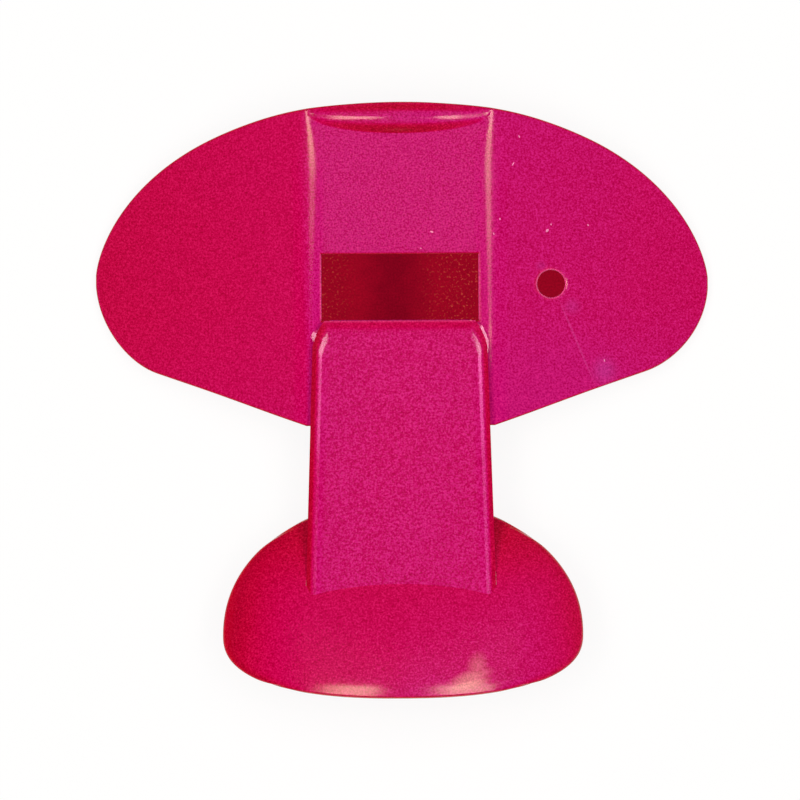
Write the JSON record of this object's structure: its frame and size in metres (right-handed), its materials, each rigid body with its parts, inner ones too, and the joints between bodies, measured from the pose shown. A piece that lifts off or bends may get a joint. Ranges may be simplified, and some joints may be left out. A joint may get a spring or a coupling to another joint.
{
  "type": "nose flute",
  "caption": "Moulded plastic nose flute: a curved mouth shield with a sound window and a cord hole, a flat air duct on its front, and a hooded nose cup at the duct's end.",
  "frame": {"origin": "middle of the footprint, on the surface that the flute lies on, back down and front up", "axes": "+X across the face towards the wing with the cord hole, +Y from the nose cup to the chin edge, +Z out of the front"},
  "size_m": [0.0786, 0.076, 0.0182],
  "materials": {
    "shield_plastic": "glossy moulded crimson plastic",
    "duct_plastic": "glossy moulded crimson plastic, turned to magenta on its flat face",
    "floor_plastic": "satin moulded crimson plastic",
    "cup_plastic": "glossy moulded crimson plastic"
  },
  "bodies": {
    "root": {"mouth_shield": "shield_plastic", "duct_cover": "duct_plastic", "airway_floor": "floor_plastic", "nose_cup": "cup_plastic"}
  },
  "joints": []
}
